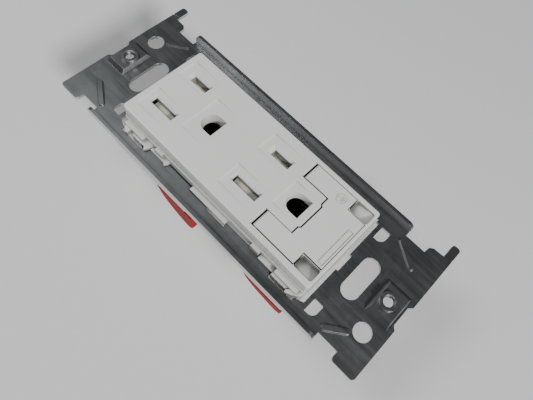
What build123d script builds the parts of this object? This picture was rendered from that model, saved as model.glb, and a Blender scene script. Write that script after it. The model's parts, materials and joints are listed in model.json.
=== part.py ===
from build123d import *
import os
from math import atan2, degrees, hypot, radians, tan

os.makedirs("parts", exist_ok=True)

# A grounded duplex wall receptacle on a steel strap. Millimetres. +Z points out of the face,
# +Y points to the upper end as installed, and the origin is the centre of the strap's back.

# Mounting strap
sheet = 1.0
strap_half_length = 56.1
ear_left_x = 20.2
ear_right_x = 25.8
window_half_width = 15.0
window_half_length = 35.6
rail_inner_x = 14.6
rail_relief = 0.15
rail_relief_half_length = 37.0
rail_outer_x = 20.4
rail_half_length = 42.9
flange_top = 4.2
flange_bend = 1.2
box_slot_y = 41.75
box_slot_length = 13.4
box_slot_width = 5.2
screw_hole_x = 9.9
screw_hole_y = 50.6
screw_hole_radius = 2.5
plate_screw_y = 50.3
plate_screw_radius = 1.65
pad_rise = 1.3
collar_top = 3.2
rib_width = 1.9
rib_height = 0.5
rib_inner = (15.9, 43.1)
rib_outer = (11.9, 49.2)
rib_outer_beside_hole = (12.6, 47.7)
ear_score_x = 21.6
notch_x = 16.9
notch_low = 24.4
notch_high = 33.0
lug_notch = (15.6, 6.3, -7.6)
lug_slot = (15.95, -0.6, -7.6)

# Front cover
face_z = 8.3
face_width = 27.8
face_length = 68.5
front_wall = 2.6
skirt_width = 28.4
skirt_length = 68.6
skirt_bottom = -2.0
skirt_top = 3.5
cavity_width = 25.2
cavity_length = 65.9
outlet_centres = (26.0, -5.75)
blade_x = 6.35
neutral_slot = (2.0, -4.05, 4.35)
hot_slot = (2.0, -3.4, 2.9)
bevel_depth = 0.8
side_bevel = 0.9
near_bevel = 0.35
end_bevels = (0.9, 1.7)
undercut_top = 7.1
ground_drop = 12.0
ground_radius = 3.05
ground_flat = 2.5
ground_taper = 6.5
ground_tube_bottom = 4.4

# Door over the earth terminal, and the opening in the cover that it lies in
door_gap_left = 0.34
door_gap_right = 0.16
door_gap_tongue_end = 0.4
door_gap_bottom = 0.16
door_gap_step = 0.1
opening_half_width = 12.35
opening_top = -13.25
opening_bottom = -33.35
opening_floor = 5.2
under_floor = 4.4
tongue_half_width = 6.6
tongue_end = -21.75
tongue_step = 0.55
tongue_step_half_width = 3.9
post_inner_x = 8.45
post_top_y = -27.6
door_top_z = 8.25
door_bottom_z = 6.9
door_end_y = -13.7
hinge_y = -14.6
hinge_z = 7.25
hinge_pin_radius = 0.6
hinge_clearance = 0.05
knuckle_radius = 0.9
chamber_half_width = 8.0
chamber_top_y = -21.8
chamber_floor = 3.6
chamber_bottom_y = -33.3
earth_wire_y = -26.5
earth_wire_radius = 1.3
button_y = -30.6

# Rear body
body_width = 28.4
body_length = 68.4
body_back = -24.0
body_wall = 1.5
partition_x = 3.4
partition_wall = 1.0
wire_x = 10.0
upper_wire_y = 5.5
lower_wire_y = -27.0
earth_rear_wire_y = -2.2
wire_hole_radius = 1.35
funnel_mouth_radius = 2.1
funnel_height = 2.4
ledge_x = 20.1
ledge_top = -0.05
ledge_thickness = 1.3
lever_top = -1.75

# Latch arms of the cover
arm_y = 29.0
arm_length = 7.6
arm_inner_x = 14.3
arm_outer_x = 15.5
arm_bottom = -8.5

# Brass and springs
brass = 0.8
bar_top = -8.8
plate_bottom = -18.5
leaf = 0.6
shutter_travel = 2.8
shutter_bottom = 4.1
shutter_top = 5.5


def finish(builder, name):
    builder.part.label = name
    export_step(builder.part, "parts/" + name + ".step")


# ---------------------------------------------------------------- mounting strap
with BuildSketch() as corner_hole:
    Rectangle(4.1, 2.9)
    fillet(corner_hole.vertices().group_by(Axis.X)[0].sort_by(Axis.Y)[0], 1.9)

with BuildPart() as mounting_strap:
    with BuildSketch():
        Rectangle(2 * (rail_outer_x - 1.4), 2 * rail_half_length)
        for end in (1, -1):
            with BuildLine():
                Polyline(
                    (-17.7, 30 * end),
                    (-17.7, 49.1 * end),
                    (-ear_left_x, 49.1 * end),
                    (-ear_left_x, strap_half_length * end),
                    (-3.9, strap_half_length * end),
                    (-2.9, 55.1 * end),
                    (2.9, 55.1 * end),
                    (3.9, strap_half_length * end),
                    (ear_right_x, strap_half_length * end),
                    (ear_right_x, 53.7 * end),
                    (21.0, 53.7 * end),
                    (20.8, 50.4 * end),
                    (20.0, 49.4 * end),
                    (18.1, 49.2 * end),
                    (18.1, 30 * end),
                    close=True,
                )
            make_face()
    extrude(amount=sheet)
    corners = mounting_strap.edges().filter_by(Axis.Z)
    fillet(corners.filter_by_position(Axis.X, -ear_left_x - 0.1, -ear_left_x + 0.1), 0.9)
    fillet(corners.filter_by_position(Axis.X, ear_right_x - 0.1, ear_right_x + 0.1), 0.8)
    # Window that the receptacle passes through, with notches for latch arms and lugs
    with BuildSketch():
        Rectangle(2 * rail_inner_x, 2 * window_half_length)
        for end in (1, -1):
            for side in (1, -1):
                with BuildLine():
                    Polyline(
                        (side * (rail_inner_x - 1.0), end * window_half_length),
                        (side * window_half_width, end * window_half_length),
                        (side * 16.0, end * notch_high),
                        (side * notch_x, end * notch_high),
                        (side * notch_x, end * notch_low),
                        (side * (rail_inner_x - 1.0), end * notch_low),
                        close=True,
                    )
                make_face()
        for half_width, high, low in (lug_notch, lug_slot):
            with Locations((0, (high + low) / 2)):
                Rectangle(2 * half_width, high - low)
        Rectangle(5.6, 2 * (window_half_length + 0.7))
    extrude(amount=sheet, mode=Mode.SUBTRACT)
    # The rails sit a hair above the seating plane of the end plates
    with BuildSketch():
        Rectangle(2 * rail_outer_x + 1.0, 2 * rail_relief_half_length)
    extrude(amount=rail_relief, mode=Mode.SUBTRACT)
    # Upturned flanges along both rails
    for side in (1, -1):
        with BuildSketch(Plane.XZ) as flange_profile:
            with BuildLine():
                Polyline(
                    (side * (rail_outer_x - 1.6), 0),
                    (side * rail_outer_x, 0),
                    (side * rail_outer_x, flange_top),
                    (side * (rail_outer_x - sheet), flange_top),
                    (side * (rail_outer_x - sheet), sheet),
                    (side * (rail_outer_x - 1.6), sheet),
                    close=True,
                )
            make_face()
            outer_x = side * rail_outer_x
            outer_corners = flange_profile.vertices().filter_by_position(Axis.X, outer_x - 0.1, outer_x + 0.1)
            fillet(outer_corners.sort_by(Axis.Y)[0], flange_bend)
        extrude(amount=rail_half_length, both=True)
        with BuildSketch():
            with Locations((side * rail_outer_x, 0)):
                Rectangle(4.0, 2 * rail_relief_half_length)
        extrude(amount=rail_relief, mode=Mode.SUBTRACT)
    flange_corners = mounting_strap.edges().filter_by(Axis.X).group_by(Axis.Z)[-1]
    fillet(flange_corners, 2.0)
    # Screw slots, round holes and corner holes
    with BuildSketch():
        with Locations((0, box_slot_y), (0, -box_slot_y)):
            SlotOverall(box_slot_length, box_slot_width)
        with Locations((screw_hole_x, screw_hole_y), (-screw_hole_x, -screw_hole_y)):
            Circle(screw_hole_radius)
        with Locations((-14.3, -38.35), (13.1, -38.35)):
            add(corner_hole.sketch)
        with Locations(Location((14.3, 38.35), 180), Location((-12.7, 38.35), 180)):
            add(corner_hole.sketch)
    extrude(amount=sheet, mode=Mode.SUBTRACT)
    # Score lines where the ears break off
    for end in (1, -1):
        with BuildSketch(Plane.XZ.offset(-end * 55.0)):
            with BuildLine():
                Polyline(
                    (ear_score_x - 0.25, sheet),
                    (ear_score_x, sheet - 0.4),
                    (ear_score_x + 0.25, sheet),
                    close=True,
                )
            make_face()
        extrude(amount=1.5, both=True, mode=Mode.SUBTRACT)
    # Pressed pads for the cover-plate screws, each with an extruded, tapped collar
    for end in (1, -1):
        for part_mode, low, wide, narrow in (
            (Mode.ADD, sheet, (10.8, 7.2), (8.6, 6.2)),
            (Mode.SUBTRACT, 0.0, (9.4, 6.2), (7.0, 4.8)),
        ):
            with BuildSketch(Plane.XY.offset(low)):
                with Locations((0, 50.9 * end)):
                    Rectangle(*wide)
            with BuildSketch(Plane.XY.offset(low + pad_rise)):
                with Locations((0, 50.9 * end)):
                    Rectangle(*narrow)
            loft(mode=part_mode)
        with BuildSketch(Plane.XY.offset(pad_rise)):
            with Locations((0, plate_screw_y * end)):
                Circle(2.5)
        extrude(amount=collar_top - pad_rise)
        with BuildSketch():
            with Locations((0, plate_screw_y * end)):
                Circle(plate_screw_radius)
        extrude(amount=collar_top, mode=Mode.SUBTRACT)
    # Stiffening ribs from the rails to the end plates, shorter beside the round holes
    for sx in (1, -1):
        for sy in (1, -1):
            outer = rib_outer_beside_hole if sx == sy else rib_outer
            rib_length = hypot(rib_inner[0] - outer[0], outer[1] - rib_inner[1])
            middle = (sx * (rib_inner[0] + outer[0]) / 2, sy * (rib_inner[1] + outer[1]) / 2)
            slope = degrees(atan2(sy * (outer[1] - rib_inner[1]), sx * (outer[0] - rib_inner[0])))
            with BuildSketch(Plane.XY.offset(sheet)):
                with Locations(Location(middle, slope)):
                    SlotCenterToCenter(rib_length, rib_width)
            extrude(amount=rib_height, taper=30)
            with BuildSketch():
                with Locations(Location(middle, slope)):
                    SlotCenterToCenter(rib_length, rib_width / 2)
            extrude(amount=rib_height, mode=Mode.SUBTRACT)
finish(mounting_strap, "mounting_strap")


# ---------------------------------------------------------------- front cover
def ground_outline(centre_y, radius, flat):
    with BuildSketch() as outline:
        with BuildLine():
            Polyline(
                (-radius, centre_y),
                (-radius, centre_y - flat),
                (radius, centre_y - flat),
                (radius, centre_y),
            )
            ThreePointArc((radius, centre_y), (0, centre_y + radius), (-radius, centre_y))
        make_face()
    return outline.sketch


# Finger pockets whose floors rise towards the outer lower corners of the face
with BuildPart() as pocket_tool:
    with BuildSketch(Plane.XY.offset(5.0)):
        with Locations((10.45, -30.55)):
            RectangleRounded(3.8, 5.9, 0.6)
    extrude(amount=5.0)
    split(bisect_by=Plane(origin=(8.4, -27.7, 5.05), z_dir=(-0.32, 0.27, 1.0)), keep=Keep.TOP)

with BuildPart() as front_cover:
    with BuildSketch(Plane.XY.offset(skirt_bottom)):
        RectangleRounded(skirt_width, skirt_length, 0.9)
    extrude(amount=skirt_top - skirt_bottom)
    with BuildSketch(Plane.XY.offset(skirt_top)):
        RectangleRounded(face_width, face_length, 0.9)
    extrude(amount=face_z - skirt_top)
    fillet(front_cover.faces().sort_by(Axis.Z)[-1].edges(), 0.45)
    with BuildSketch(Plane.XY.offset(skirt_bottom)):
        RectangleRounded(cavity_width, cavity_length, 0.4)
    extrude(amount=face_z - front_wall - skirt_bottom, mode=Mode.SUBTRACT)
    # Shallow wedge recesses around the blade slots and the upper ground hole
    for centre in outlet_centres:
        for x_low, x_high, y_high, y_low in (
            (-10.45, -3.0, centre + 6.4, centre - 4.8),
            (3.8, 10.6, centre + 6.4, centre - 4.8),
        ):
            with BuildSketch(Plane.YZ.offset(x_low)):
                with BuildLine():
                    Polyline((y_high, face_z), (y_high - 0.25, face_z - 0.25), (y_low, face_z), close=True)
                make_face()
            extrude(amount=x_high - x_low, mode=Mode.SUBTRACT)
    for x_half, y_high, y_low in ((6.5, 19.0, 10.6), (4.5, -12.85, -20.5)):
        with BuildSketch(Plane.YZ.offset(-x_half)):
            with BuildLine():
                Polyline((y_high, face_z), (y_high - 0.25, face_z - 0.25), (y_low, face_z), close=True)
            make_face()
        extrude(amount=2 * x_half, mode=Mode.SUBTRACT)
    # Blade slots, bevelled most on the right and at the upper end
    for centre in outlet_centres:
        for x_centre, (width, low, high), end_bevel in (
            (-blade_x, neutral_slot, end_bevels[0]),
            (blade_x, hot_slot, end_bevels[1]),
        ):
            length = high - low
            middle = centre + (low + high) / 2
            with BuildSketch(Plane.XY.offset(face_z)):
                with Locations((x_centre + (side_bevel - near_bevel) / 2, middle + end_bevel / 2)):
                    Rectangle(width + side_bevel + near_bevel, length + end_bevel)
            with BuildSketch(Plane.XY.offset(face_z - bevel_depth)):
                with Locations((x_centre, middle)):
                    Rectangle(width, length)
            loft(mode=Mode.SUBTRACT)
            with BuildSketch(Plane.XY.offset(face_z)):
                with Locations((x_centre, middle)):
                    Rectangle(width, length)
            extrude(amount=-front_wall, mode=Mode.SUBTRACT)
        # Undercut behind the upper lip of the neutral slot
        with BuildSketch(Plane.XY.offset(undercut_top)):
            with Locations((-blade_x, centre + neutral_slot[2] + 0.6)):
                Rectangle(neutral_slot[0], 1.4)
        extrude(amount=face_z - front_wall - undercut_top, mode=Mode.SUBTRACT)
    # Tapered holes for the ground pins
    for centre in outlet_centres:
        with BuildSketch(Plane.XY.offset(face_z)):
            add(ground_outline(centre - ground_drop, ground_radius, ground_flat))
        extrude(amount=-front_wall, taper=ground_taper, mode=Mode.SUBTRACT)
    # Short straight tube that carries the upper ground hole on behind the face
    narrowing = front_wall * tan(radians(ground_taper))
    tube_radius = ground_radius - narrowing
    tube_flat = ground_flat - narrowing
    tube_y = outlet_centres[0] - ground_drop
    with BuildSketch(Plane.XY.offset(ground_tube_bottom)):
        add(ground_outline(tube_y, tube_radius + 0.9, tube_flat + 0.9))
        add(ground_outline(tube_y, tube_radius, tube_flat), mode=Mode.SUBTRACT)
    extrude(amount=face_z - front_wall - ground_tube_bottom)
    # Thicker floor under the door and the finger pockets
    with BuildSketch(Plane.XY.offset(under_floor)):
        with Locations((0, (opening_top - 34.0) / 2)):
            Rectangle(face_width - 1.0, opening_top + 34.0 + 1.6)
        with Locations((0, (opening_top + 0.8 + tongue_end + 1.0) / 2)):
            Rectangle(2 * tongue_half_width - 2.0, opening_top + 0.8 - tongue_end - 1.0, mode=Mode.SUBTRACT)
    extrude(amount=face_z - front_wall - under_floor)
    # U-shaped opening for the door, with a tongue between its arms
    with BuildSketch(Plane.XY.offset(opening_floor)):
        with BuildLine():
            Polyline(
                (-opening_half_width, opening_top),
                (-tongue_half_width, opening_top),
                (-tongue_half_width, tongue_end),
                (-tongue_step_half_width - 0.5, tongue_end),
                (-tongue_step_half_width, tongue_end - tongue_step),
                (tongue_step_half_width, tongue_end - tongue_step),
                (tongue_step_half_width + 0.5, tongue_end),
                (tongue_half_width, tongue_end),
                (tongue_half_width, opening_top),
                (opening_half_width, opening_top),
                (opening_half_width, post_top_y),
                (post_inner_x, post_top_y),
                (post_inner_x, opening_bottom),
                (-post_inner_x, opening_bottom),
                (-post_inner_x, post_top_y),
                (-opening_half_width, post_top_y),
                close=True,
            )
        make_face()
    extrude(amount=face_z - opening_floor, mode=Mode.SUBTRACT)
    cross_edges = front_cover.edges().filter_by(Axis.X)
    face_edges = cross_edges.filter_by_position(Axis.Z, face_z - 0.01, face_z + 0.01)
    tongue_lip = face_edges.filter_by_position(Axis.Y, tongue_end - tongue_step - 0.01, tongue_end + 0.01)
    chamfer(tongue_lip, 0.3)
    # Lead-in above the arms of the door, and blind sockets for its pins
    for side in (1, -1):
        arm_middle = side * (tongue_half_width + opening_half_width) / 2
        with BuildSketch(Plane.YZ.offset(arm_middle)):
            with BuildLine():
                Polyline(
                    (opening_top + 0.4, face_z),
                    (opening_top, face_z),
                    (opening_top, face_z - 0.4),
                    close=True,
                )
            make_face()
        extrude(amount=(opening_half_width - tongue_half_width) / 2, both=True, mode=Mode.SUBTRACT)
        with BuildSketch(Plane.YZ.offset(side * (opening_half_width - 0.1))):
            with Locations((hinge_y, hinge_z)):
                Circle(hinge_pin_radius + hinge_clearance)
        extrude(amount=side * 1.05, mode=Mode.SUBTRACT)
    # Earth terminal chamber behind the door
    chamber_middle = (0, (chamber_top_y + chamber_bottom_y) / 2)
    with BuildSketch(Plane.XY.offset(chamber_floor - 1.0)):
        with Locations(chamber_middle):
            Rectangle(2 * chamber_half_width + 2.0, chamber_top_y - chamber_bottom_y + 1.8)
    extrude(amount=opening_floor - chamber_floor + 0.8)
    with BuildSketch(Plane.XY.offset(chamber_floor)):
        with Locations(chamber_middle):
            Rectangle(2 * chamber_half_width, chamber_top_y - chamber_bottom_y)
    extrude(amount=door_bottom_z - chamber_floor, mode=Mode.SUBTRACT)
    with BuildSketch(Plane.XY.offset(chamber_floor - 1.0)):
        with Locations((0, earth_wire_y)):
            Circle(earth_wire_radius)
        with Locations((0, button_y)):
            Rectangle(4.4, 2.8)
    extrude(amount=1.0, mode=Mode.SUBTRACT)
    # Sills that part the chamber from the finger pockets
    with BuildSketch(Plane.XY.offset(under_floor)):
        with Locations((8.2, -30.5), (-8.2, -30.5)):
            Rectangle(0.6, 5.8)
    extrude(amount=door_bottom_z - 0.3 - under_floor)
    # Funnel that leads the earth wire into its hole
    with BuildSketch(Plane.XY.offset(chamber_floor)):
        with Locations((0, earth_wire_y)):
            Circle(earth_wire_radius + 1.0)
            Circle(earth_wire_radius, mode=Mode.SUBTRACT)
    extrude(amount=0.8)
    # Finger pockets in the lower corners
    add(pocket_tool.part, mode=Mode.SUBTRACT)
    add(pocket_tool.part.mirror(Plane.YZ), mode=Mode.SUBTRACT)
    # Latch arms
    for side in (1, -1):
        for end in (1, -1):
            with BuildSketch(Plane.XY.offset(arm_bottom)):
                with Locations((side * (arm_inner_x + arm_outer_x) / 2, end * arm_y)):
                    Rectangle(arm_outer_x - arm_inner_x, arm_length)
            extrude(amount=3.0 - arm_bottom)
            with BuildSketch(Plane.XY.offset(-1.9)):
                with Locations((side * 14.2, end * arm_y)):
                    Rectangle(0.6, arm_length)
            extrude(amount=4.9)
            with BuildSketch(Plane.XY.offset(-6.7)):
                with Locations((side * 15.0, end * arm_y)):
                    Rectangle(3.0, 4.0)
            extrude(amount=2.4, mode=Mode.SUBTRACT)
        # Hooks and lugs that reach over the rails, larger at the upper end
        for hook, thickness in (
            (((13.5, 30.0), (16.9, 30.0), (17.1, 30.7), (15.9, 32.2), (13.5, 32.5)), 1.5),
            (((13.8, 22.0), (15.6, 22.6), (17.0, 23.3), (16.1, 24.0), (16.1, 29.0), (13.8, 30.2)), 0.8),
            (((13.8, 15.3), (15.0, 15.5), (15.9, 16.0), (15.4, 16.8), (15.4, 22.2), (13.8, 22.2)), 0.6),
            (((13.8, -34.1), (15.0, -34.0), (16.3, -32.0), (17.0, -30.4), (16.3, -30.2), (13.8, -32.6)), 1.2),
        ):
            with BuildSketch(Plane.XY.offset(sheet + 0.05)):
                with BuildLine():
                    Polyline(*[(side * x, y) for x, y in hook], close=True)
                make_face()
            extrude(amount=thickness)
        for lug_y, lug_length in ((19.2, 2.8), (-17.9, 3.0)):
            with BuildSketch(Plane.XY.offset(sheet + 0.2)):
                with Locations((side * 14.3, lug_y)):
                    Rectangle(1.5, lug_length)
            extrude(amount=2.2)
        with BuildSketch(Plane.XY.offset(sheet + 0.05)):
            with Locations((side * 14.7, -22.3)):
                Rectangle(1.6, 5.2)
        extrude(amount=0.5)
        # Lug that fills the notch halfway along the rail
        with BuildSketch(Plane.XY.offset(0.1)):
            with Locations((side * 14.7, (lug_notch[1] + lug_notch[2]) / 2)):
                Rectangle(1.5, lug_notch[1] - lug_notch[2] - 0.4)
        extrude(amount=1.6)
        # Shoulders of the latch arms inside the rail's notches
        for y_low, y_high in ((25.0, 28.8), (-30.3, -25.0)):
            with BuildSketch(Plane.XY.offset(-1.0)):
                with Locations((side * 15.0, (y_low + y_high) / 2)):
                    Rectangle(2.4, y_high - y_low)
            extrude(amount=2.9)
finish(front_cover, "front_cover")

# ---------------------------------------------------------------- earth door
with BuildPart() as earth_door:
    left_x = -opening_half_width + door_gap_left
    right_x = opening_half_width - door_gap_right
    tongue_left_x = -tongue_half_width - door_gap_right
    tongue_right_x = tongue_half_width + door_gap_left
    inner_y = tongue_end - door_gap_tongue_end
    post_left_x = -post_inner_x + door_gap_left
    post_right_x = post_inner_x - door_gap_right
    post_y = post_top_y + door_gap_bottom
    lower_y = opening_bottom + door_gap_bottom
    with BuildSketch(Plane.XY.offset(door_bottom_z)):
        with BuildLine():
            Polyline(
                (left_x, door_end_y),
                (tongue_left_x, door_end_y),
                (tongue_left_x, inner_y),
                (-tongue_step_half_width - 0.5 - door_gap_step, inner_y),
                (-tongue_step_half_width - door_gap_step, inner_y - tongue_step),
                (tongue_step_half_width + door_gap_step, inner_y - tongue_step),
                (tongue_step_half_width + 0.5 + door_gap_step, inner_y),
                (tongue_right_x, inner_y),
                (tongue_right_x, door_end_y),
                (right_x, door_end_y),
                (right_x, post_y),
                (post_right_x, post_y),
                (post_right_x, lower_y),
                (post_left_x, lower_y),
                (post_left_x, post_y),
                (left_x, post_y),
                close=True,
            )
        make_face()
    extrude(amount=door_top_z - door_bottom_z)
    fillet(earth_door.edges().filter_by(Axis.X).group_by(Axis.Y)[-1].group_by(Axis.Z)[-1], 0.6)
    # Knuckles and pins
    for side, edge_x in ((1, right_x), (-1, left_x)):
        with BuildSketch(Plane.YZ.offset(edge_x - side * 1.6)):
            with Locations((hinge_y, hinge_z)):
                Circle(knuckle_radius)
        extrude(amount=side * 1.6)
        with BuildSketch(Plane.YZ.offset(edge_x - side * 0.3)):
            with Locations((hinge_y, hinge_z)):
                Circle(hinge_pin_radius)
        extrude(amount=side * 1.25)
    # Stiffening rib under the plate
    with BuildSketch(Plane.XY.offset(door_bottom_z - 0.8)):
        with Locations((0, -24.2)):
            Rectangle(14.0, 0.9)
    extrude(amount=0.8)
    # Raised circled-earth mark
    with BuildSketch(Plane.XY.offset(door_top_z)):
        with Locations((9.4, -24.6)):
            Circle(1.55)
            Circle(1.3, mode=Mode.SUBTRACT)
        with Locations((9.4, -24.1)):
            Rectangle(0.22, 1.5)
        with Locations((9.4, -24.75)):
            Rectangle(1.9, 0.22)
        with Locations((9.4, -25.15)):
            Rectangle(1.2, 0.22)
        with Locations((9.4, -25.55)):
            Rectangle(0.5, 0.22)
    extrude(amount=0.1)
    # Wire strip gauge: a shallow groove as long as the bared wire
    with BuildSketch(Plane.XY.offset(door_top_z)):
        with Locations((-1.5, -31.9)):
            Rectangle(12.0, 1.7)
            Rectangle(11.5, 1.2, mode=Mode.SUBTRACT)
    extrude(amount=-0.12, mode=Mode.SUBTRACT)
finish(earth_door, "earth_door")

# ---------------------------------------------------------------- rear body
with BuildPart() as rear_body:
    with BuildSketch(Plane.XY.offset(body_back)):
        RectangleRounded(body_width, body_length, 1.2)
    extrude(amount=skirt_bottom - body_back)
    fillet(rear_body.faces().sort_by(Axis.Z)[0].edges(), 0.6)
    with BuildSketch(Plane.XY.offset(body_back + body_wall)):
        RectangleRounded(body_width - 2 * body_wall, body_length - 2 * body_wall, 0.5)
    extrude(amount=24.0, mode=Mode.SUBTRACT)
    # Partitions between the neutral, earth and hot channels
    with BuildSketch(Plane.XY.offset(body_back + body_wall)):
        with Locations((partition_x, 0), (-partition_x, 0)):
            Rectangle(partition_wall, body_length - body_wall)
    extrude(amount=17.5)
    # Funnels and holes for the wires
    wire_holes = [(side * wire_x, y) for side in (1, -1) for y in (upper_wire_y, lower_wire_y)]
    wire_holes.append((0, earth_rear_wire_y))
    with BuildSketch(Plane.XY.offset(body_back + body_wall)):
        with Locations(*wire_holes[:4]):
            Circle(2.4)
        with Locations(wire_holes[4]):
            Rectangle(6.0, 4.4)
    extrude(amount=funnel_height)
    with BuildSketch(Plane.XY.offset(body_back)):
        with Locations(*wire_holes):
            Circle(wire_hole_radius)
        with Locations((0, earth_rear_wire_y - 4.6)):
            Rectangle(3.0, 1.4)
    extrude(amount=body_wall + funnel_height, mode=Mode.SUBTRACT)
    with BuildSketch(Plane.XY.offset(body_back)):
        with Locations(*wire_holes):
            Circle(funnel_mouth_radius)
    extrude(amount=0.75, taper=44, mode=Mode.SUBTRACT)
    for side in (1, -1):
        # Ledges behind the strap's rails, with gaps for the latch arms
        for y_low, y_high in ((2.5, 33.0), (-33.5, -18.0)):
            with BuildSketch(Plane.XY.offset(ledge_top - ledge_thickness)):
                with BuildLine():
                    Polyline(
                        (side * 14.4, y_low),
                        (side * (ledge_x - 0.8), y_low),
                        (side * ledge_x, y_low + 0.8),
                        (side * ledge_x, y_high - 0.8),
                        (side * (ledge_x - 0.8), y_high),
                        (side * 14.4, y_high),
                        close=True,
                    )
                make_face()
            extrude(amount=ledge_thickness)
        for y_low, y_high in ((2.5, 24.2), (-24.2, -18.0)):
            with BuildSketch(Plane.XY.offset(-4.6)):
                with Locations((side * 15.4, (y_low + y_high) / 2)):
                    Rectangle(2.0, y_high - y_low)
            extrude(amount=4.6 + ledge_top)
            with BuildSketch(Plane.XY.offset(-4.6)):
                with Locations((side * 14.2, (y_low + y_high) / 2)):
                    Rectangle(1.0, y_high - y_low)
            extrude(amount=2.4)
        for end in (1, -1):
            with BuildSketch(Plane.XY.offset(-3.0)):
                with Locations((side * 15.65, end * arm_y)):
                    Rectangle(2.8, arm_length + 1.0)
            extrude(amount=3.0, mode=Mode.SUBTRACT)
            # Catches for the latch arms
            with BuildSketch(Plane.XZ.offset(-end * arm_y)):
                with BuildLine():
                    Polyline(
                        (side * 14.0, -4.6),
                        (side * 15.4, -4.6),
                        (side * 15.4, -5.2),
                        (side * 14.2, -6.5),
                        (side * 14.0, -6.5),
                        close=True,
                    )
                make_face()
            extrude(amount=1.8, both=True)
        # Guide slots for the release levers
        for slot_top, lever_y in ((-5.5, 9.5), (-2.6, -22.9)):
            with BuildSketch(Plane.XY.offset(slot_top)):
                with Locations((side * 14.5, lever_y)):
                    Rectangle(5.0, 2.3)
            extrude(amount=-4.2, mode=Mode.SUBTRACT)
finish(rear_body, "rear_body")


# ---------------------------------------------------------------- blade contacts
def contact_bar(side, name):
    with BuildPart() as bar:
        # Rail that joins both outlets
        with BuildSketch(Plane.XY.offset(bar_top - brass)):
            with Locations((side * 6.0, 0.5)):
                Rectangle(3.2, 59.0)
            with Locations((side * 8.0, upper_wire_y), (side * 8.0, lower_wire_y)):
                Rectangle(1.2, 5.6)
        extrude(amount=brass)
        # Terminal plates that the wires are pressed against
        with BuildSketch(Plane.XY.offset(plate_bottom)):
            with Locations((side * 8.2, upper_wire_y), (side * 8.2, lower_wire_y)):
                Rectangle(brass, 5.6)
        extrude(amount=bar_top - plate_bottom)
        # A pair of sprung leaves for each blade
        for centre in outlet_centres:
            for leaf_side in (1, -1):
                root = side * blade_x + leaf_side * 0.6
                with BuildSketch(Plane.XZ.offset(-centre)):
                    with BuildLine():
                        Polyline(
                            (root, bar_top - brass / 2),
                            (root, 0.4),
                            (root + leaf_side * 0.7, 2.4),
                            (root + leaf_side * (0.7 + leaf), 2.2),
                            (root + leaf_side * leaf, 0.2),
                            (root + leaf_side * leaf, bar_top - brass / 2),
                            close=True,
                        )
                    make_face()
                extrude(amount=3.5, both=True)
    finish(bar, name)


contact_bar(-1, "neutral_contact_bar")
contact_bar(1, "hot_contact_bar")

with BuildPart() as earth_contact_bar:
    with BuildSketch(Plane.XY.offset(bar_top - brass)):
        with Locations((0, -6.4)):
            Rectangle(4.4, 46.4)
        with Locations((0, 14.0), (0, -17.75)):
            Rectangle(5.4, 5.0)
    extrude(amount=brass)
    # Clips that grip the ground pins
    for centre in outlet_centres:
        for leaf_side in (1, -1):
            with BuildSketch(Plane.XZ.offset(-(centre - ground_drop))):
                with BuildLine():
                    Polyline(
                        (leaf_side * 2.15, bar_top - brass / 2),
                        (leaf_side * 2.15, 1.4),
                        (leaf_side * 2.9, 3.4),
                        (leaf_side * 3.5, 3.2),
                        (leaf_side * 2.75, 1.2),
                        (leaf_side * 2.75, bar_top - brass / 2),
                        close=True,
                    )
                make_face()
            extrude(amount=2.4, both=True)
    # Terminal plates for the rear wire and for the wire behind the door
    with BuildSketch(Plane.XY.offset(plate_bottom)):
        with Locations((0, -0.4)):
            Rectangle(4.0, brass)
    extrude(amount=bar_top - plate_bottom)
    with BuildSketch(Plane.XY.offset(bar_top - brass)):
        with Locations((0, -24.9)):
            Rectangle(4.0, brass)
    extrude(amount=11.6)
finish(earth_contact_bar, "earth_contact_bar")


# ---------------------------------------------------------------- lock springs of the terminals
def side_wire_spring(side, wire_y, finger_y, name):
    with BuildPart() as spring:
        with BuildSketch(Plane.XZ.offset(-wire_y)) as strip:
            with BuildLine():
                Polyline(
                    (side * 12.5, -12.0),
                    (side * 12.5, -19.0),
                    (side * 12.1, -19.4),
                    (side * 11.7, -19.2),
                    (side * 8.8, -13.8),
                    (side * 9.15, -13.7),
                    (side * 11.85, -18.5),
                    (side * 12.15, -18.5),
                    (side * 12.15, -12.0),
                    close=True,
                )
            make_face()
        extrude(amount=2.2, both=True)
        # Shorter tongue beside the wire, which the lever's finger pushes aside
        low = min(wire_y, finger_y)
        high = max(wire_y, finger_y)
        with BuildSketch(Plane.XZ.offset(-low)):
            with BuildLine():
                Polyline(
                    (side * 12.1, -19.4),
                    (side * 11.7, -19.2),
                    (side * 9.75, -15.55),
                    (side * 10.1, -15.4),
                    (side * 11.85, -18.5),
                    (side * 12.15, -18.5),
                    close=True,
                )
            make_face()
        extrude(amount=-(high - low + 0.8))
    finish(spring, name)


for side, pole in ((-1, "neutral"), (1, "hot")):
    side_wire_spring(side, upper_wire_y, 9.5, pole + "_upper_wire_spring")
    side_wire_spring(side, lower_wire_y, -22.9, pole + "_lower_wire_spring")

with BuildPart() as earth_rear_wire_spring:
    with BuildSketch(Plane.YZ):
        with BuildLine():
            Polyline(
                (-7.9, -11.5),
                (-7.9, -19.0),
                (-7.5, -19.4),
                (-7.1, -19.2),
                (-1.2, -13.6),
                (-1.5, -13.3),
                (-7.2, -18.6),
                (-7.55, -18.6),
                (-7.55, -11.5),
                close=True,
            )
        make_face()
    extrude(amount=2.0, both=True)
finish(earth_rear_wire_spring, "earth_rear_wire_spring")

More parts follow.
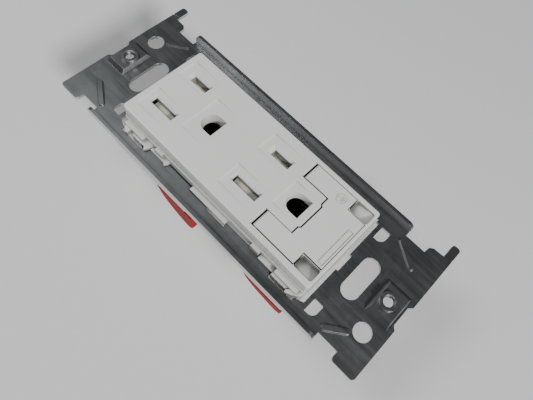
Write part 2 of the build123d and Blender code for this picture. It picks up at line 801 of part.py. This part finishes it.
with BuildPart() as earth_door_wire_spring:
    with BuildSketch(Plane.YZ):
        with BuildLine():
            Polyline(
                (-32.5, -8.0),
                (-32.5, -1.4),
                (-32.1, -1.0),
                (-31.7, -1.2),
                (-25.7, -5.0),
                (-25.9, -5.3),
                (-31.8, -1.8),
                (-32.15, -1.8),
                (-32.15, -8.0),
                close=True,
            )
        make_face()
    extrude(amount=1.9, both=True)
finish(earth_door_wire_spring, "earth_door_wire_spring")


# ---------------------------------------------------------------- wire release levers
def release_lever(side, pad_low, pad_high, pad_depth, web_y, web_top, name):
    with BuildPart() as lever:
        # Tab beside the body, deepest towards its lower end
        with BuildSketch(Plane.YZ.offset(side * 17.3)):
            with BuildLine():
                Polyline(
                    (pad_high, lever_top),
                    (pad_low, lever_top),
                    (pad_low, lever_top - 0.8 * pad_depth),
                )
                Spline(
                    (pad_low, lever_top - 0.8 * pad_depth),
                    (pad_low + 1.6, lever_top - pad_depth),
                    (pad_low + 5.0, lever_top - 0.93 * pad_depth),
                    (pad_high - 4.0, lever_top - 0.66 * pad_depth),
                    (pad_high, lever_top),
                )
            make_face()
        extrude(amount=side * 2.9)
        outer_face = lever.faces().filter_by(Axis.X).sort_by(Axis.X)[0 if side < 0 else -1]
        fillet(outer_face.edges(), 0.4)
        # Web through the body's wall and the finger at its end
        with BuildSketch(Plane.XZ.offset(-web_y)):
            with BuildLine():
                Polyline(
                    (side * 17.4, web_top),
                    (side * 7.9, web_top),
                    (side * 7.9, -15.7),
                    (side * 8.3, -15.7),
                    (side * 9.7, -13.0),
                    (side * 9.7, web_top - 1.6),
                    (side * 17.4, web_top - 1.6),
                    close=True,
                )
            make_face()
        extrude(amount=0.95, both=True)
    finish(lever, name)


for side, pole in ((-1, "neutral"), (1, "hot")):
    release_lever(side, 0.4, 14.4, 9.0, 9.5, -5.8, pole + "_upper_release_lever")
    release_lever(side, -33.2, -19.4, 4.5, -22.9, -2.9, pole + "_lower_release_lever")

# ---------------------------------------------------------------- earth release button
with BuildPart() as earth_release_button:
    with BuildSketch(Plane.XY.offset(1.4)):
        with Locations((0, button_y)):
            Rectangle(5.4, 2.4)
    extrude(amount=1.0)
    with BuildSketch(Plane.XY.offset(2.0)):
        with Locations((0, button_y)):
            Rectangle(4.0, 2.4)
    extrude(amount=3.6)
    with BuildSketch(Plane.XY.offset(0.5)):
        with Locations((0, button_y)):
            Rectangle(3.2, 1.4)
    extrude(amount=1.2)
    fillet(earth_release_button.faces().sort_by(Axis.Z)[-1].edges(), 0.3)
finish(earth_release_button, "earth_release_button")


# ---------------------------------------------------------------- safety shutters
def shutter(centre, place):
    with BuildPart() as slide:
        with BuildSketch(Plane.XY.offset(shutter_bottom)):
            with Locations((-2.0, centre - 0.1)):
                Rectangle(20.6, 9.0)
        extrude(amount=shutter_top - shutter_bottom)
        for x_centre in (-blade_x, blade_x):
            # Window that lines up with the slot when the shutter has slid across
            with BuildSketch(Plane.XY.offset(shutter_bottom)):
                with Locations((x_centre - shutter_travel, centre)):
                    Rectangle(2.2, 8.6)
            extrude(amount=2.0, mode=Mode.SUBTRACT)
            # Ramp that the blade pushes on
            with BuildSketch(Plane.XZ.offset(-centre)):
                with BuildLine():
                    Polyline(
                        (x_centre - shutter_travel + 1.05, shutter_bottom + 0.3),
                        (x_centre + 1.3, shutter_top + 0.01),
                        (x_centre - shutter_travel + 1.05, shutter_top + 0.01),
                        close=True,
                    )
                make_face()
            extrude(amount=4.3, both=True, mode=Mode.SUBTRACT)
        # Groove at the foot of the hot slot's ramp
        with BuildSketch(Plane.XY.offset(shutter_bottom + 0.5)):
            with Locations((blade_x + 0.8, centre - 0.2)):
                Rectangle(0.45, 6.6)
        extrude(amount=1.0, mode=Mode.SUBTRACT)
        # Peg that centres the return spring
        with BuildSketch(Plane.YZ.offset(8.2)):
            with Locations((centre, 4.8)):
                Circle(0.4)
        extrude(amount=0.8)
    finish(slide, place + "_shutter")

    with BuildPart() as retainer:
        with BuildSketch(Plane.XY.offset(2.9)):
            with Locations((0, centre)):
                Rectangle(24.8, 10.6)
            with Locations((-blade_x, centre), (blade_x, centre)):
                Rectangle(4.4, 8.8, mode=Mode.SUBTRACT)
        extrude(amount=0.9)
        with BuildSketch(Plane.XY.offset(3.8)):
            with Locations((0, centre + 5.05), (0, centre - 5.05)):
                Rectangle(24.8, 0.5)
            with Locations((-blade_x, centre + 5.05)):
                Rectangle(4.4, 0.6, mode=Mode.SUBTRACT)
        extrude(amount=face_z - front_wall - 3.8)
    finish(retainer, place + "_shutter_retainer")

    with BuildPart() as return_spring:
        with BuildLine() as coil:
            Helix(pitch=0.95, height=3.8, radius=0.62, center=(8.6, centre, 4.8), direction=(1, 0, 0))
        with BuildSketch(Plane(origin=coil.line @ 0, z_dir=coil.line % 0)):
            Circle(0.12)
        sweep(is_frenet=True)
    finish(return_spring, place + "_shutter_spring")


shutter(outlet_centres[0], "upper")
shutter(outlet_centres[1], "lower")
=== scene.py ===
import json
from math import cos, pi, radians, sin

import bmesh
import bpy
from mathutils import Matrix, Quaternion, Vector


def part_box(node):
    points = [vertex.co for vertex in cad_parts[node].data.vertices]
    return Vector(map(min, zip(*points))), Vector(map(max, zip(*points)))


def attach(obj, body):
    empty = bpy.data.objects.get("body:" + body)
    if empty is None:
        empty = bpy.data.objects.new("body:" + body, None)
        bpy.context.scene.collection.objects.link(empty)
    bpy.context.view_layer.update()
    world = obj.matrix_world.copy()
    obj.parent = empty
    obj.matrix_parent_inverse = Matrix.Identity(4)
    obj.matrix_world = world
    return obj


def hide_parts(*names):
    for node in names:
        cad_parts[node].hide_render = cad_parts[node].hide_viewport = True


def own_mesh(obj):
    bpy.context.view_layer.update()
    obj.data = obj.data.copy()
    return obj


# The looks of a duplex wall receptacle on a galvanised strap. Metres, in the CAD frame:
# +Z out of the face, +Y to the upper end as installed.

MM = 0.001
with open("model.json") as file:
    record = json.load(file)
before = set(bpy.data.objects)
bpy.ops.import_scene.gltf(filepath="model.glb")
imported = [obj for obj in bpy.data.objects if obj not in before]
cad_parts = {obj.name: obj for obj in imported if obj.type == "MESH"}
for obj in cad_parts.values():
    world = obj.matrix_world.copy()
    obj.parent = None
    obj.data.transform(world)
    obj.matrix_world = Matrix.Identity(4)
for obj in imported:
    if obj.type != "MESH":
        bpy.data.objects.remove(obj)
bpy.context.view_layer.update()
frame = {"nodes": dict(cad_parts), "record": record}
nodes = frame["nodes"]

body_low, body_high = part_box("rear_body")
floor_height = body_low.z

# The camera stands above the lower left corner, rolled to one side
CAMERA_PLACE = Vector((-42.67, -34.88, 108.27)) * MM
CAMERA_AIM = Vector((-3.854, -10.843, 5.0)) * MM
CAMERA_ROLL = radians(14.31)
CAMERA_LENS = 29.42
CAMERA_NEAR_LIMIT = 0.005

# How far the painted shade in corners and slots reaches, on each kind of surface
PLASTIC_SHADE_REACH = 5.0 * MM
SHEET_SHADE_REACH = 1.5 * MM
STRIP_SHADE_REACH = 9.0 * MM

# Radius that the shading gives to sharp edges
PLASTIC_EDGE = 0.16 * MM
SHEET_EDGE = 0.14 * MM
STRIP_EDGE = 0.08 * MM

# Thread in the strap's collars, measured from the mount's middle
THREAD_PITCH = 0.7 * MM
THREAD_DEPTH = 0.28 * MM
THREAD_BELOW = 0.65 * MM
THREAD_ABOVE = 0.70 * MM
THREAD_ROOT = 0.06 * MM
THREAD_STEPS = 32

# The shutters' return springs, drawn as fixed coils; the real ones close up as the shutters slide across
COIL_PITCH = 0.95 * MM
COIL_RADIUS = 0.62 * MM
COIL_WIRE = 0.12 * MM
COIL_END_ROOM = 1.2 * COIL_WIRE
COIL_STEPS = 24
COIL_SIDES = 8

# Ridge of the mould's parting line round the rear body
SEAM_HALF_WIDTH = 14.2 * MM
SEAM_CORNER = 1.2 * MM
SEAM_ABOVE_REAR = 9.0 * MM
SEAM_PROUD = 0.07 * MM
SEAM_ROOT = 0.05 * MM
SEAM_CORNER_STEPS = 8

FLOOR_HALF_WIDTH = 3.0


# ---------------------------------------------------------------- material helpers
class Surface:
    """A principled material, with the node helpers that the materials below share."""

    def __init__(self, name, rough, spec=0.5, metal=0.0, subsurface=0.0):
        self.material = bpy.data.materials.new(name)
        self.material.use_nodes = True
        self.tree = self.material.node_tree
        self.shader = self.tree.nodes["Principled BSDF"]
        self.shader.inputs["Roughness"].default_value = rough
        self.shader.inputs["Specular IOR Level"].default_value = spec
        self.shader.inputs["Metallic"].default_value = metal
        self.shader.inputs["Subsurface Weight"].default_value = subsurface
        self.shader.inputs["Subsurface Radius"].default_value = (1.0, 0.9, 0.8)
        self.shader.inputs["Subsurface Scale"].default_value = 0.6 * MM
        self.place = self.node("ShaderNodeTexCoord").outputs["Object"]

    def node(self, kind, **settings):
        made = self.tree.nodes.new(kind)
        for key, value in settings.items():
            setattr(made, key, value)
        return made

    def link(self, source, target):
        self.tree.links.new(source, target)

    def noise(self, scale, detail=3.0, rough=0.55, stretch=(1.0, 1.0, 1.0)):
        mapping = self.node("ShaderNodeMapping")
        mapping.inputs["Scale"].default_value = stretch
        self.link(self.place, mapping.inputs["Vector"])
        texture = self.node("ShaderNodeTexNoise")
        texture.inputs["Scale"].default_value = scale
        texture.inputs["Detail"].default_value = detail
        texture.inputs["Roughness"].default_value = rough
        self.link(mapping.outputs["Vector"], texture.inputs["Vector"])
        return texture.outputs["Fac"]

    def cells(self, scale):
        texture = self.node("ShaderNodeTexVoronoi")
        texture.inputs["Scale"].default_value = scale
        self.link(self.place, texture.inputs["Vector"])
        return texture.outputs["Color"]

    def ramp(self, value, low, high, first, last):
        """Maps value between low and high to numbers or greys between first and last."""
        stage = self.node("ShaderNodeMapRange", clamp=True)
        self.link(value, stage.inputs["Value"])
        stage.inputs["From Min"].default_value = low
        stage.inputs["From Max"].default_value = high
        stage.inputs["To Min"].default_value = first
        stage.inputs["To Max"].default_value = last
        return stage.outputs["Result"]

    def colours(self, factor, first, last):
        mix = self.node("ShaderNodeMix", data_type="RGBA")
        for socket, colour in ((mix.inputs[6], first), (mix.inputs[7], last)):
            if isinstance(colour, tuple):
                socket.default_value = (*colour, 1.0)
            else:
                self.link(colour, socket)
        self.link(factor, mix.inputs[0])
        return mix.outputs[2]

    def crevices(self, distance):
        """1 in the open, less in corners and slots."""
        shade = self.node("ShaderNodeAmbientOcclusion", samples=8)
        shade.inputs["Distance"].default_value = distance
        return shade.outputs["AO"]

    def sheared(self):
        """0 on the flat faces of a sheet, 1 on its sheared edges."""
        parts = self.node("ShaderNodeSeparateXYZ")
        self.link(self.node("ShaderNodeTexCoord").outputs["Normal"], parts.inputs["Vector"])
        size = self.node("ShaderNodeMath", operation="ABSOLUTE")
        self.link(parts.outputs["Z"], size.inputs[0])
        return self.ramp(size.outputs["Value"], 0.25, 0.6, 1.0, 0.0)

    def relief(self, *layers, edge=0.0):
        """Bumps, each (height, strength, depth), over edges rounded by the given radius."""
        normal = None
        if edge:
            rounded = self.node("ShaderNodeBevel", samples=6)
            rounded.inputs["Radius"].default_value = edge
            normal = rounded.outputs["Normal"]
        for height, strength, depth in layers:
            bump = self.node("ShaderNodeBump")
            bump.inputs["Strength"].default_value = strength
            bump.inputs["Distance"].default_value = depth
            self.link(height, bump.inputs["Height"])
            if normal:
                self.link(normal, bump.inputs["Normal"])
            normal = bump.outputs["Normal"]
        self.link(normal, self.shader.inputs["Normal"])

    def paint(self, colour, rough=None):
        self.link(colour, self.shader.inputs["Base Color"])
        if rough:
            self.link(rough, self.shader.inputs["Roughness"])
        return self.material


# ---------------------------------------------------------------- materials
def moulded_plastic(name, colour, shade, rough, grain, subsurface=0.0, spec=0.45):
    """Injection-moulded plastic: fine spark-eroded grain, faint flow clouds and painted shade that darkens
    the corners.
    """
    surface = Surface(name, rough, spec=spec, subsurface=subsurface)
    clouds = surface.ramp(surface.noise(90.0, detail=2.0), 0.3, 0.7, 0.0, 1.0)
    base = surface.colours(clouds, colour, tuple(0.975 * c for c in colour))
    fine = surface.noise(5200.0, detail=2.0)
    ripple = surface.noise(260.0, detail=1.0)
    surface.relief((ripple, 0.10, 0.05 * MM), (fine, grain, 0.02 * MM), edge=PLASTIC_EDGE)
    scuffs = surface.noise(420.0, detail=4.0, stretch=(1.0, 0.25, 1.0))
    # Painted shade: the colour turns to the shade colour in corners, slots and recesses
    painted_shade_mask = surface.ramp(surface.crevices(PLASTIC_SHADE_REACH), 0.06, 0.86, 1.0, 0.0)
    return surface.paint(
        surface.colours(painted_shade_mask, base, shade),
        surface.ramp(scuffs, 0.35, 0.7, rough, rough + 0.1),
    )


def galvanised_steel(name):
    """Zinc-plated sheet: faint spangle, rolling lines, sheared edges painted brighter as bare cut steel with
    a painted highlight, and painted shade in creases.
    """
    surface = Surface(name, 0.4, metal=0.9)
    spangle = surface.ramp(surface.cells(420.0), 0.0, 1.0, 0.0, 1.0)
    rolled = surface.noise(140.0, detail=5.0, stretch=(6.0, 0.35, 1.0))
    stain = surface.noise(55.0, detail=4.0)
    sheet = surface.colours(spangle, (0.185, 0.195, 0.20), (0.245, 0.255, 0.26))
    sheet = surface.colours(surface.ramp(stain, 0.35, 0.7, 0.0, 0.6), sheet, (0.14, 0.15, 0.15))
    # Sheared edges painted bright: partly bare cut steel, partly a painted highlight
    base = surface.colours(surface.sheared(), sheet, (0.62, 0.63, 0.63))
    # Painted shade: the steel darkens in creases and corners
    painted_crease_shade = surface.ramp(surface.crevices(SHEET_SHADE_REACH), 0.3, 0.9, 0.75, 0.0)
    surface.relief((stain, 0.15, 0.08 * MM), (rolled, 0.12, 0.02 * MM), edge=SHEET_EDGE)
    return surface.paint(
        surface.colours(painted_crease_shade, base, (0.09, 0.09, 0.085)),
        surface.ramp(rolled, 0.3, 0.7, 0.30, 0.46),
    )


def sheet_metal(name, colour, dull, rough):
    """Bare strip metal for contacts and springs, with rolling lines, a little tarnish and painted shade in
    holes and corners.
    """
    surface = Surface(name, rough, metal=1.0)
    rolled = surface.noise(300.0, detail=4.0, stretch=(0.3, 6.0, 6.0))
    tarnish = surface.noise(160.0, detail=3.0)
    surface.relief((rolled, 0.15, 0.02 * MM), edge=STRIP_EDGE)
    base = surface.colours(surface.ramp(tarnish, 0.4, 0.75, 0.0, 0.7), colour, dull)
    # Painted shade: the metal darkens deep in holes and corners
    painted_hole_shade = surface.ramp(surface.crevices(STRIP_SHADE_REACH), 0.02, 0.9, 1.0, 0.0)
    base = surface.colours(painted_hole_shade, base, tuple(0.4 * c for c in dull))
    return surface.paint(base, surface.ramp(rolled, 0.3, 0.7, rough, rough + 0.14))


WHITE = (0.86, 0.865, 0.85)
# Painted shade colour for the corners, gaps and slots of the white parts
PAINTED_CREVICE_SHADE = (0.06, 0.06, 0.045)
# Slot: colour, painted shade colour in corners, roughness, grain, subsurface, specular
PLASTICS = {
    "cover_white": (WHITE, PAINTED_CREVICE_SHADE, 0.32, 0.12, 0.06),
    "door_white": (WHITE, PAINTED_CREVICE_SHADE, 0.30, 0.08, 0.06),
    "body_plastic": ((0.74, 0.73, 0.68), (0.05, 0.05, 0.04), 0.42, 0.25),
    "button_plastic": ((0.84, 0.84, 0.82), (0.6, 0.6, 0.58), 0.34, 0.12, 0.1),
    "shutter_plastic": ((0.84, 0.81, 0.70), (0.30, 0.28, 0.20), 0.38, 0.12, 0.1),
    "retainer_plastic": ((0.70, 0.70, 0.68), (0.45, 0.45, 0.43), 0.45, 0.2),
    "lever_red": ((0.34, 0.008, 0.012), (0.13, 0.005, 0.005), 0.5, 0.12, 0.0, 0.12),
}
# Slot: colour, tarnished colour, roughness
STRIP_METALS = {
    "contact_brass": ((0.78, 0.55, 0.22), (0.48, 0.31, 0.12), 0.28),
    "spring_steel": ((0.62, 0.63, 0.64), (0.44, 0.44, 0.44), 0.24),
}
materials = {slot: moulded_plastic(slot, *look) for slot, look in PLASTICS.items()}
materials["strap_steel"] = galvanised_steel("strap_steel")
materials.update({slot: sheet_metal(slot, *look) for slot, look in STRIP_METALS.items()})

for entry in frame["record"]["subparts"]:
    part = nodes[entry["node"]]
    part.data.materials.clear()
    part.data.materials.append(materials[entry["material_slot"]])


# ---------------------------------------------------------------- detail too fine for the CAD
def skin(mesh, rings, loop=False):
    """Joins each ring of vertices to the next, and caps both ends unless the rings close a loop."""
    for first, second in zip(rings, rings[1:] + (rings[:1] if loop else [])):
        for side in range(len(first)):
            after = (side + 1) % len(first)
            mesh.faces.new((first[side], first[after], second[after], second[side]))
    if not loop:
        mesh.faces.new(rings[0])
        mesh.faces.new(reversed(rings[-1]))


def finish_piece(name, mesh, slot, body):
    """Turns a finished mesh into a piece that rides on a CAD body."""
    bmesh.ops.recalc_face_normals(mesh, faces=mesh.faces)
    data = bpy.data.meshes.new(name)
    mesh.to_mesh(data)
    mesh.free()
    data.materials.append(materials[slot])
    piece = bpy.data.objects.new(name, data)
    bpy.context.scene.collection.objects.link(piece)
    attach(piece, body)
    return piece


def thread_ridge(centre_y, low, high, bore):
    """A helical ridge of triangular section on the wall of a tapped hole."""
    mesh = bmesh.new()
    section = (
        (bore + THREAD_ROOT, -0.42 * THREAD_PITCH),
        (bore - THREAD_DEPTH, 0.0),
        (bore + THREAD_ROOT, 0.42 * THREAD_PITCH),
    )
    rings = []
    for index in range(round((high - low) / THREAD_PITCH * THREAD_STEPS) + 1):
        turn = 2 * pi * index / THREAD_STEPS
        height = low + THREAD_PITCH * index / THREAD_STEPS
        rings.append(
            [mesh.verts.new((r * cos(turn), centre_y + r * sin(turn), height + rise)) for r, rise in section]
        )
    skin(mesh, rings)
    return mesh


def parting_line(half_length, height):
    """The faint ridge that a mould's halves leave round a casing."""
    mesh = bmesh.new()
    section = ((-SEAM_ROOT, -SEAM_PROUD), (SEAM_PROUD, 0.0), (-SEAM_ROOT, SEAM_PROUD))
    rings = []
    for quarter, (sx, sy) in enumerate(((1, 1), (-1, 1), (-1, -1), (1, -1))):
        corner_x = sx * (SEAM_HALF_WIDTH - SEAM_CORNER)
        corner_y = sy * (half_length - SEAM_CORNER)
        for index in range(SEAM_CORNER_STEPS + 1):
            turn = (quarter + index / SEAM_CORNER_STEPS) * pi / 2
            out = Vector((cos(turn), sin(turn), 0.0))
            middle = Vector((corner_x, corner_y, height))
            rings.append(
                [
                    mesh.verts.new(middle + out * (SEAM_CORNER + step) + Vector((0.0, 0.0, rise)))
                    for step, rise in section
                ]
            )
    skin(mesh, rings, loop=True)
    return mesh


def compression_coil(low, high):
    """A helical wire along X that fills the box from low to high."""
    mesh = bmesh.new()
    axis_y = (low.y + high.y) / 2
    axis_z = (low.z + high.z) / 2
    start = low.x + COIL_END_ROOM
    length = high.x - low.x - 2 * COIL_END_ROOM
    circle = [2 * pi * side / COIL_SIDES for side in range(COIL_SIDES)]
    rings = []
    for index in range(round(length / COIL_PITCH * COIL_STEPS) + 1):
        turn = 2 * pi * index / COIL_STEPS
        out = Vector((0.0, cos(turn), sin(turn)))
        middle = Vector((start + COIL_PITCH * index / COIL_STEPS, axis_y, axis_z)) + COIL_RADIUS * out
        rings.append(
            [
                mesh.verts.new(middle + COIL_WIRE * cos(a) * out + Vector((COIL_WIRE * sin(a), 0.0, 0.0)))
                for a in circle
            ]
        )
    skin(mesh, rings)
    return mesh


threads = next(mount for mount in frame["record"]["mounts"] if mount["name"] == "cover_plate_threads")
thread_bore = threads["dims"]["hole_r_mm"] * MM
thread_middle = threads["pos_m"][2]
for end, word in ((1, "upper"), (-1, "lower")):
    collar_y = end * threads["dims"]["spacing_y_mm"] / 2 * MM
    ridge = thread_ridge(collar_y, thread_middle - THREAD_BELOW, thread_middle + THREAD_ABOVE, thread_bore)
    finish_piece(word + "_collar_thread", ridge, "strap_steel", "housing")

for place in ("upper", "lower"):
    node = place + "_shutter_spring"
    coil_low, coil_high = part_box(node)
    coil = finish_piece(node + "_coil", compression_coil(coil_low, coil_high), "spring_steel", "housing")
    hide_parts(node)
    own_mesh(coil)

seam = parting_line(body_high.y, body_low.z + SEAM_ABOVE_REAR)
finish_piece("body_parting_line", seam, "body_plastic", "housing")


# ---------------------------------------------------------------- floor, lights and camera
def make_floor():
    surface = Surface("floor_paper", 0.8, spec=0.2)
    fibre = surface.noise(900.0, detail=3.0)
    surface.relief((fibre, 0.05, 0.05 * MM))
    surface.paint(surface.colours(fibre, (0.80, 0.80, 0.80), (0.84, 0.84, 0.84)))
    mesh = bpy.data.meshes.new("floor")
    half = FLOOR_HALF_WIDTH
    corners = [(-half, -half), (half, -half), (half, half), (-half, half)]
    mesh.from_pydata([(x, y, floor_height) for x, y in corners], [], [(0, 1, 2, 3)])
    floor = bpy.data.objects.new("floor", mesh)
    floor.data.materials.append(surface.material)
    bpy.context.scene.collection.objects.link(floor)


def soft_light(name, place, aim, width, power):
    lamp = bpy.data.lights.new(name, "AREA")
    lamp.shape = "DISK"
    lamp.size = width
    lamp.energy = power
    holder = bpy.data.objects.new(name, lamp)
    holder.location = place
    holder.rotation_mode = "QUATERNION"
    holder.rotation_quaternion = (Vector(aim) - Vector(place)).to_track_quat("-Z", "Y")
    bpy.context.scene.collection.objects.link(holder)


def make_world():
    world = bpy.data.worlds.new("studio")
    world.use_nodes = True
    world.node_tree.nodes["Background"].inputs["Color"].default_value = (0.95, 0.97, 1.0, 1.0)
    world.node_tree.nodes["Background"].inputs["Strength"].default_value = 0.09
    bpy.context.scene.world = world


def make_camera():
    lens = bpy.data.cameras.new("camera")
    lens.lens = CAMERA_LENS
    lens.sensor_width = 36.0
    lens.clip_start = CAMERA_NEAR_LIMIT
    camera = bpy.data.objects.new("camera", lens)
    camera.location = CAMERA_PLACE
    camera.rotation_mode = "QUATERNION"
    look = (CAMERA_AIM - CAMERA_PLACE).to_track_quat("-Z", "Y")
    camera.rotation_quaternion = look @ Quaternion((0.0, 0.0, 1.0), CAMERA_ROLL)
    bpy.context.scene.collection.objects.link(camera)
    bpy.context.scene.camera = camera


make_floor()
make_world()
soft_light("key", place=(-0.32, -0.98, 0.80), aim=(0, 0, 0), width=0.28, power=15.5)
soft_light("fill", place=(-0.10, 0.26, 0.38), aim=(0, 0.03, 0), width=0.22, power=0.85)
make_camera()
